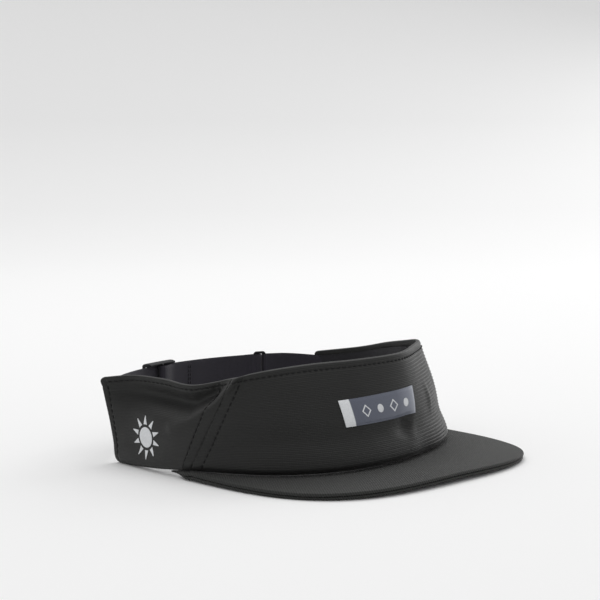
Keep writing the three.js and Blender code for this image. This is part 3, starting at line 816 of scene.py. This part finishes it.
def brim_profile(flip):
    """One cover: its face, a rounded lip at the edge, and its allowance turned in along the middle."""
    thick = BRIM["thickness"]
    lip = thick / 2 - 0.14
    radius = lip * 0.5
    turn = np.radians(np.linspace(90, -72, 11))
    edge = [(1, radius * (1 - math.cos(t)), radius * (1 - math.sin(t)) * lip / (radius * 1.95)) for t in turn]
    skin = [(w, 0, 0) for w in np.linspace(0, 1, 34)[:-1]]
    skin = [(w, 3.0 * w**8, 0) for w, _, _ in skin] + [(1, 2.2, 0), (1, 1.5, 0), (1, 1.0, 0)] + edge
    inside = [(1, 1.3, lip), (1, 4, lip), (1, 4.3, SKIN)]
    inside += [(w, 4.4 * w, SKIN) for w in np.linspace(1, 0, 12)[1:]]
    under = 0.4 if flip else 0
    return [(w, i + under * (w == 1), thick - d if flip else d) for w, i, d in skin + inside], len(skin)


def board_profile():
    face = [(w, BOARD_INSET * w, BOARD_DROP) for w in np.linspace(BOARD_BACK, 1, 12)]
    return face + [(w, i, BRIM["thickness"] - d) for w, i, d in face[::-1]], len(face)


def add_brim():
    covers = (("brim_upper", "brim_top_cover", False), ("brim_lower", "brim_under_cover", True))
    for name, node, flip in covers:
        profile, fold = brim_profile(flip)
        grid, uv = brim_grid(profile)
        loft(name, grid, BRIM_CLOTH, uv=uv, fold=fold, node=node, slot="brim_fabric")
    profile, fold = board_profile()
    grid, uv = brim_grid(profile)
    whole = slice(HEEL_STEPS + BOARD_SHORT, -HEEL_STEPS - BOARD_SHORT)
    loft("brim_stiffener", grid[whole], BOARD, uv=uv[whole], fold=fold, node="brim_board", slot="brim_board")


add_brim()

# ---- rear webbing, slider and ring

ARC = dict(x=2.2, y=-36.7, radius=129.6)
WEB = dict(low=10.6, high=40.1, thickness=0.8, inset=0.055, v_low=0.26, v_high=0.93, depth=1.6)
SLIDER_AT, RING_AT, WEB_START = -14.35, 17.9, -33  # angles on the arc, in degrees
SLIDER_LENGTH, RING_BARS = 22.8, 6.4
LOOP_RADIUS, LOOP_SHIFT, LOOP_LENGTH = 1.8, -1.2, 24.6
RING_SPLIT, TAIL_GAP = 1.5, 0.12
SEWN_OUT, SEWN_GAP, LOOP_CLOSED = -2.3, 0.42, 11.0


def on_arc(angle, along, out):
    """Plan points `along` mm past an angle on the webbing's arc and `out` mm outside it."""
    turn = math.radians(angle) + np.asarray(along, float) / ARC["radius"]
    reach = ARC["radius"] + np.asarray(out, float)
    return np.stack([ARC["x"] + reach * np.sin(turn), ARC["y"] + ORIGIN_Y + reach * np.cos(turn)], -1)


WEB_ROWS = 26
SELVAGE, SELVAGE_AT, SELVAGE_WIDTH = 0.14, 0.465, 0.012


def upright(plan):
    """Rows of points from the webbing's lower to its upper edge over each plan point."""
    z = np.linspace(WEB["low"], WEB["high"], WEB_ROWS)
    plan = np.atleast_2d(plan)
    grid = np.empty((len(plan), WEB_ROWS, 3))
    grid[..., :2] = plan[:, None]
    grid[..., 2] = z
    return grid


def in_panel(u, depth):
    v = np.linspace(WEB["v_low"], WEB["v_high"], WEB_ROWS)
    return band(np.atleast_1d(u)[:, None], v[None, :], depth)


def bezier(start, start_run, end, end_run, reach, steps):
    t = np.linspace(0, 1, steps + 1)[1:-1, None, None]
    a, d = start[None], end[None]
    b, c = a + np.array([*start_run, 0]) * reach, d - np.array([*end_run, 0]) * reach
    return (1 - t) ** 3 * a + 3 * (1 - t) ** 2 * t * b + 3 * (1 - t) * t**2 * c + t**3 * d


def arc_run(angle):
    turn = math.radians(angle)
    return np.array([math.cos(turn), -math.sin(turn)])


def unit(v):
    return np.asarray(v) / np.linalg.norm(v)


def webbing(name, rows, thickness, node, body="band"):
    """A flat woven strip with rounded edges and a raised selvage along each."""
    run = np.gradient(rows[..., :2].mean(1), axis=0)
    out = np.stack([-run[:, 1], run[:, 0]], -1)
    out /= np.linalg.norm(out, axis=1, keepdims=True)
    out3 = np.concatenate([out, np.zeros((len(out), 1))], -1)[:, None]
    across = np.linspace(0, 1, rows.shape[1])
    edge = np.sqrt(np.clip(1 - (np.abs(across - 0.5) * 2) ** 40, 0.04, 1))
    selvage = 1 + SELVAGE * bell(np.abs(across - 0.5) - SELVAGE_AT, SELVAGE_WIDTH)
    half = (thickness / 2 * edge * selvage)[None, :, None]
    front, back = rows + out3 * half, (rows - out3 * half)[:, ::-1]
    grid = np.concatenate([front, back], 1)
    length = lengths_along(rows.mean(1))
    height = np.linspace(0, WEB["high"] - WEB["low"], rows.shape[1])
    around = np.concatenate([height, height[::-1] + 40])
    uv = pairs(length[:, None], around[None, :])
    return loft(name, grid, WEBBING, uv=uv, body=body, node=node, slot="strap_webbing")


def wrap(direction):
    """Plan points of the webbing's turn round one bar of the ring."""
    bar, middle = -direction * RING_BARS / 2, LOOP_RADIUS + WEB["thickness"] / 2
    turn = np.radians(np.linspace(90, -90, 19))
    reach = RING_BARS / 2 + direction * RING_SPLIT - WEB["thickness"] / 2 - 0.02
    return on_arc(RING_AT, bar + direction * reach * np.cos(turn), LOOP_SHIFT + middle * np.sin(turn))


def add_straps():
    ring_bar, lead, tail_lead = RING_BARS / 2, 9, 8
    anchored = in_panel(np.array([1, 0.75, 0.5, 0.3, 0.15, 0]) * WEB["inset"], WEB["depth"])
    start = upright(on_arc(WEB_START, 0, 0))[0]
    leaving = unit(anchored[-1, 0, :2] - anchored[-2, 0, :2])
    outward_by = LOOP_SHIFT + LOOP_RADIUS + WEB["thickness"] / 2
    run_end = RING_AT - math.degrees((ring_bar + lead) / ARC["radius"])
    angles = np.linspace(WEB_START, run_end, 60)
    plan = np.array([on_arc(a, 0, 0) for a in angles])
    ease = np.linspace(0, 1, 8)[1:]
    lift = on_arc(RING_AT, -ring_bar - lead + ease * (lead - 0.6), outward_by * ease**2 * (3 - 2 * ease))
    rows = np.concatenate([
        anchored, bezier(anchored[-1], leaving, start, arc_run(WEB_START), 5, 14),
        upright(plan), upright(lift), upright(wrap(1)[1:]),
    ])
    webbing("webbing_main", rows, WEB["thickness"], node="strap_webbing")

    inner = LOOP_SHIFT - LOOP_RADIUS - WEB["thickness"] / 2
    tail_out = SEWN_OUT + SEWN_GAP
    reach = math.radians(RING_AT - SLIDER_AT) * ARC["radius"] - LOOP_LENGTH - TAIL_GAP
    along = np.linspace(-reach, -ring_bar - tail_lead, 60)
    closing = tail_out + (inner - tail_out) * ease**2 * (3 - 2 * ease)
    end = on_arc(RING_AT, -ring_bar - tail_lead + ease * 7.98, closing)
    tail = webbing("webbing_tail", upright(np.vstack([on_arc(RING_AT, along, tail_out), end])),
                   WEB["thickness"], node="strap_tail", body=None)
    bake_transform(tail)

    shift, thickness = 0.5, 0.75
    tab_start = RING_AT + 5.5
    end_run = -unit((band(1.0, 0.5) - band(0.98, 0.5))[:2])
    runs = []
    for offset in (shift, -shift):
        near = upright(on_arc(tab_start, 0, offset + LOOP_SHIFT / 2))[0]
        inside = in_panel(1 - np.array([0.004, 0.012, 0.02, 0.028, 0.035]), WEB["depth"] - offset)
        runs.append(np.concatenate([
            near[None], bezier(near, arc_run(tab_start), inside[0], end_run, 7, 16), inside]))
    rows = np.concatenate([runs[0][::-1], upright(wrap(-1)), runs[1]])
    webbing("webbing_tab", rows, thickness, node="ring_tab")


def slider_out(along):
    end, middle = 2.0, -2.9
    return end - (end - middle) * np.cos(math.pi * along / SLIDER_LENGTH) ** 2


def remeshed(obj, voxel, rounds):
    """Joins a piece's overlapping solids into one smooth moulded body."""
    for kind, settings in (("REMESH", dict(mode="VOXEL", voxel_size=voxel * MM)),
                           ("SMOOTH", dict(factor=0.5, iterations=rounds))):
        modifier = obj.modifiers.new(kind.lower(), kind)
        for key, value in settings.items():
            setattr(modifier, key, value)
    bpy.context.view_layer.update()
    evaluated = obj.evaluated_get(bpy.context.evaluated_depsgraph_get())
    mesh = bpy.data.meshes.new_from_object(evaluated)
    mesh.name = obj.name
    obj.modifiers.clear()
    obj.data = mesh
    mesh.shade_smooth()


RAIL_OUT, RAIL_WIDE, RAIL_TALL, RAIL_PAST, RAIL_ABOVE = -0.4, 2.7, 1.0, 0.9, 1.05
END_BAR, MIDDLE_BAR, VOXEL, SMOOTHINGS = 0.95, 0.7, 0.28, 3


def add_slider():
    low, high = WEB["low"] - RAIL_ABOVE, WEB["high"] + RAIL_ABOVE
    half = SLIDER_LENGTH / 2 - 1.0
    ways = np.linspace(-half - RAIL_PAST, half + RAIL_PAST, 40)
    rail = on_arc(SLIDER_AT, ways, RAIL_OUT + 0 * ways)
    parts = []
    for z in (low, high):
        path = np.column_stack([rail, np.full(len(rail), z)])
        parts.append(tube(path, RAIL_WIDE, 20, flat=RAIL_TALL / RAIL_WIDE))
    z = np.linspace(low, high, 12)
    for along, radius in ((-half, END_BAR), (half, END_BAR), (0.0, MIDDLE_BAR)):
        plan = on_arc(SLIDER_AT, along, slider_out(along))
        column = np.column_stack([np.tile(plan, (len(z), 1)), z])
        parts.append(tube(column, radius, 12, up=(0, 1, 0)))
    obj = make("slider_frame", *join(parts), PLASTIC, body="slider", node="slider", slot="hardware_plastic")
    remeshed(obj, VOXEL, SMOOTHINGS)


RING_PAST, RING_CORNER, RING_WIRE = 0.95, 1.3, 0.78


def add_ring():
    low, high = WEB["low"] - RING_PAST, WEB["high"] + RING_PAST
    half, corner = RING_BARS / 2, RING_CORNER
    turns = np.radians(np.linspace(0, 90, 7))
    path = []
    for sx, sz, begin in ((1, 1, 0), (-1, 1, 1), (-1, -1, 2), (1, -1, 3)):
        for t in turns + begin * math.pi / 2:
            along = sx * (half - corner) + corner * math.cos(t)
            z = (high if sz > 0 else low) - sz * corner + corner * math.sin(t)
            path.append((*on_arc(RING_AT, along, LOOP_SHIFT), z))
    plan_out = np.array([*unit(on_arc(RING_AT, 0, 1) - on_arc(RING_AT, 0, 0)), 0])
    wire = tube(path, RING_WIRE, 14, closed=True, up=plan_out)
    make("ring_wire", *wire, PLASTIC, body="ring", node="ring", slot="hardware_plastic")


def add_loop():
    """The webbing's end round the slider's middle bar, with its sewn double stretch."""
    bar, clear = float(slider_out(0.0)) - 0.1, 1.3
    middle = clear + WEB["thickness"] / 2
    turn = np.radians(np.linspace(90, 270, 21))
    turned = on_arc(SLIDER_AT, middle * np.cos(turn), bar + middle * np.sin(turn))
    ease = np.linspace(0, 1, 15)[1:]
    curve = smooth(ease, 0, 1)
    sewn = np.linspace(LOOP_CLOSED, LOOP_LENGTH, 16)[1:]
    sides = []
    for sign in (1, -1):
        level, start = SEWN_OUT + sign * SEWN_GAP, bar + sign * middle
        closing = on_arc(SLIDER_AT, ease * LOOP_CLOSED, start + (level - start) * curve)
        sides.append(np.vstack([closing, on_arc(SLIDER_AT, sewn, np.full(len(sewn), level))]))
    plan = np.vstack([sides[0][::-1], turned, sides[1]])
    webbing("webbing_loop", upright(plan), WEB["thickness"], node="strap_loop", body="slider")


add_straps()
add_slider()
add_ring()
add_loop()

# ---- label and print

def label_place(a, b):
    """Headband place of a point of the label, a along it and b up it, both 0 to 1."""
    low, high = 0.399 + 0.020 * a, 0.648 + 0.033 * a
    return 0.458 + 0.1135 * a + 0.006 * (1 - b) * (1 - a), low + (high - low) * b


def add_label():
    columns, rows = 110, 30
    a, b = np.linspace(0, 1, columns), np.linspace(0, 1, rows)
    around = np.concatenate([b, b[::-1]])
    u, v = label_place(a[:, None], around[None, :])
    rim = np.minimum(np.minimum(a, 1 - a)[:, None] * 25, np.minimum(around, 1 - around)[None, :] * 8)
    puff = 0.3 * smooth(rim, 0, 1)
    lift = np.concatenate([np.full(rows, 0.46), np.full(rows, 0.12)])[None, :] + puff
    grid = band(u, v, -lift)
    uv = pairs(a[:, None], around[None, :])
    loft("label_satin_patch", grid, SATIN, uv=uv, node="front_label", slot="label_satin")


MARK_FILM, LABEL_MARK_LIFT, SIDE_PRINT_LIFT = 0.07, 0.8, 0.1
# Each mark's place along the label, sides, size and share of it left open.
LABEL_MARKS = ((0.29, 4, 0.19, 0.7), (0.47, 24, 0.125, 0.0), (0.65, 4, 0.19, 0.7), (0.83, 24, 0.125, 0.0))


def film(points_uv, faces, lift):
    """A thin printed film over flat figures given in headband places."""
    u, v = np.array(points_uv).T
    front, back = band(u, v, -(lift + MARK_FILM)), band(u, v, -(lift - MARK_FILM))
    count = len(front)
    edges = dict.fromkeys((a, b) for f in faces for a, b in zip(f, f[1:] + f[:1]))
    border = [(a, b) for a, b in edges if (b, a) not in edges]
    sides = [(a, b, b + count, a + count) for a, b in border]
    both = [tuple(f) for f in faces] + [tuple(count + i for i in reversed(f)) for f in faces]
    points = np.vstack([front, back])
    return points, outward(points, both + [tuple(reversed(f)) for f in sides])


def add_label_marks():
    """Plain printed figures along the label: diamonds and dots, each a small ring or disc."""
    parts = []
    for middle, sides, size, hole in LABEL_MARKS:
        turn = circle(sides)
        steps = [hole, (hole + 1) / 2, 1.0]
        points = []
        for share in steps:
            a = middle + size * 0.30 * share * np.cos(turn)
            b = 0.5 + size * share * 1.25 * np.sin(turn)
            points += list(zip(*label_place(a, b)))
        faces = []
        for ring in range(len(steps) - 1):
            for j in range(sides):
                k = (j + 1) % sides
                a, b = ring * sides + j, ring * sides + k
                faces.append([a, a + sides, b + sides] if hole == ring == 0 else [a, a + sides, b + sides, b])
        if hole == 0:
            points[:sides] = [label_place(middle, 0.5)] * sides
        parts.append(film(points, faces, LABEL_MARK_LIFT))
    make("label_marks", *join(parts), FILM, slot="print_white", sharp=True)


PRINT_LENGTH, PRINT_HEIGHT = 268, 41  # millimetres for the whole of u and v at the print


def add_print():
    """A generic sun: a disc and a ring of separate tapered rays, as one thin film."""
    rays, disc, gap, ray = 10, 4.6, 5.9, 9.8
    middle_u, middle_v, sides = 0.097, 0.335, 60

    def place(reach, turn):
        return middle_u + reach * np.cos(turn) / PRINT_LENGTH, middle_v + reach * np.sin(turn) / PRINT_HEIGHT

    points = [place(0.0, 0.0)]
    steps = np.linspace(0, disc, 7)[1:]
    for reach in steps:
        points += list(zip(*place(reach, circle(sides))))
    parts = [film(points, disc_faces(len(steps), sides), SIDE_PRINT_LIFT)]
    for n in range(rays):
        centre = 2 * math.pi * (n + 0.5) / rays
        points, faces = [], []
        for reach in np.linspace(gap, ray, 9):
            half = 0.2 * (1 - 0.86 * (reach - gap) / (ray - gap)) * gap / reach
            points += [place(reach, centre + half * k) for k in (-1, 0, 1)]
        for i in range(8):
            for k in range(2):
                a = i * 3 + k
                faces.append([a, a + 3, a + 4, a + 1])
        parts.append(film(points, faces, SIDE_PRINT_LIFT))
    make("sun_print", *join(parts), FILM, node="side_print", slot="print_white", sharp=True)


add_label()
add_label_marks()
add_print()

# ---- threads

THREAD_RADIUS, THREAD_LENGTH, THREAD_RISE, THREAD_SINK = 0.30, 2.0, 0.3, 0.16
TACK_RADIUS, TACK_ROWS, TACK_STEP = 0.2, 2, 1.6
HEM_START = 3.2  # where the hem's stitches begin, past a panel's free end


def surface(u, v):
    """Points and outward directions on the ribbed, sewn cloth."""
    u, v = np.broadcast_arrays(np.asarray(u, float), np.asarray(v, float))
    points = band(u, v, -relief(u, v))
    out = band(u, v, -1.0) - band(u, v, 0.0)
    return points, out / np.linalg.norm(out, axis=-1, keepdims=True)


def stitch_row(name, u, v):
    """A row of short threads along a dense line of headband places, each dipping into the cloth."""
    points, normals = surface(u, v)
    gone = lengths_along(points)
    parts = []
    for begin in np.arange(0.4, gone[-1] - THREAD_LENGTH, STITCH):
        t = np.linspace(0, 1, 7)
        at = begin + t * THREAD_LENGTH
        line = np.column_stack([np.interp(at, gone, points[:, k]) for k in range(3)])
        out = np.column_stack([np.interp(at, gone, normals[:, k]) for k in range(3)])
        rise = THREAD_RISE * np.sin(math.pi * t) - THREAD_SINK
        parts.append(tube(line + out * rise[:, None], THREAD_RADIUS, 6))
    make(name, *join(parts), THREAD)


def add_threads():
    along = 600
    right, left = SEAMS
    spans = (("right", HEM_START, right - 1), ("front", right + 1, left - 1),
             ("left", left + 1, TOTAL - HEM_START))
    for name, start, end in spans:
        stitch_row("hem_thread_" + name, u_at(np.linspace(start, end, along)), np.full(along, HEM_ROW))
    v = np.linspace(HEM_ROW - 0.03, 0.03, 260)
    behind, ahead = seam_rows(v)
    for name, seam, side in (("right", right, -1), ("left", left, 1)):
        stitch_row(f"seam_thread_{name}_side", u_at(seam + side * behind), v)
        stitch_row(f"seam_thread_{name}_front", u_at(seam - side * ahead), v)
    v = np.linspace(HEM_ROW - 0.04, 0.06, 200)
    stitch_row("end_thread_right", u_at(np.full(200, END_ROW)), v)
    stitch_row("end_thread_left", u_at(np.full(200, TOTAL - END_ROW)), v)


def bar_tack(name, angle, along, out, body):
    """Upright rows of small slanting threads that sew webbing to webbing, on its inner face."""
    parts = []
    for n in range(TACK_ROWS):
        for z in np.arange(WEB["low"] + 1.5, WEB["high"] - 2.5, 2.2):
            t = np.linspace(0, 1, 7)
            plan = on_arc(angle, along + n * TACK_STEP + 0.5 * t, out - 0.26 * np.sin(math.pi * t) + 0.1)
            parts.append(tube(np.column_stack([plan, z + 1.6 * t]), TACK_RADIUS, 6))
    make(name, *join(parts), THREAD, body=body)


add_threads()
WEB_FACE = SEWN_OUT - SEWN_GAP - WEB["thickness"] / 2
bar_tack("loop_thread", SLIDER_AT, LOOP_LENGTH - 3.2, WEB_FACE, "slider")
